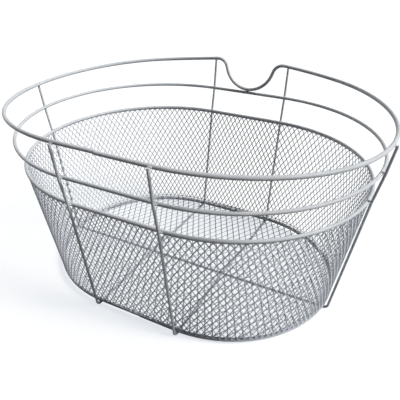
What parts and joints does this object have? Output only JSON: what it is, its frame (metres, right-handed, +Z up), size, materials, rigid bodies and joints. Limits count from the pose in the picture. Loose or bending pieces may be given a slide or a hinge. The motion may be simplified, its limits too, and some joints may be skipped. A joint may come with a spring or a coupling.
{
  "type": "oval wire basket",
  "caption": "Oval open-top wire basket with a tapered diamond-mesh wall and floor, open hoops above the mesh and a dip in the back of the rim.",
  "frame": {"origin": "on the ground under the middle of the basket, where the stays stand", "axes": "+X along the basket, +Y towards the back with the dip in the rim, +Z up"},
  "size_m": [0.4094, 0.3182, 0.2078],
  "materials": {
    "wire_coat": "silver powder coat, satin, on round steel wire",
    "mesh_coat": "silver powder coat, satin, on diamond-mesh steel sheet"
  },
  "bodies": {
    "root": {"top_rim": "wire_coat", "middle_hoop": "wire_coat", "mesh_top_hoop": "wire_coat", "bottom_hoop": "wire_coat", "left_stay": "wire_coat", "right_stay": "wire_coat", "cross_stay": "wire_coat", "wall_mesh": "mesh_coat", "floor_mesh": "mesh_coat"}
  },
  "joints": []
}
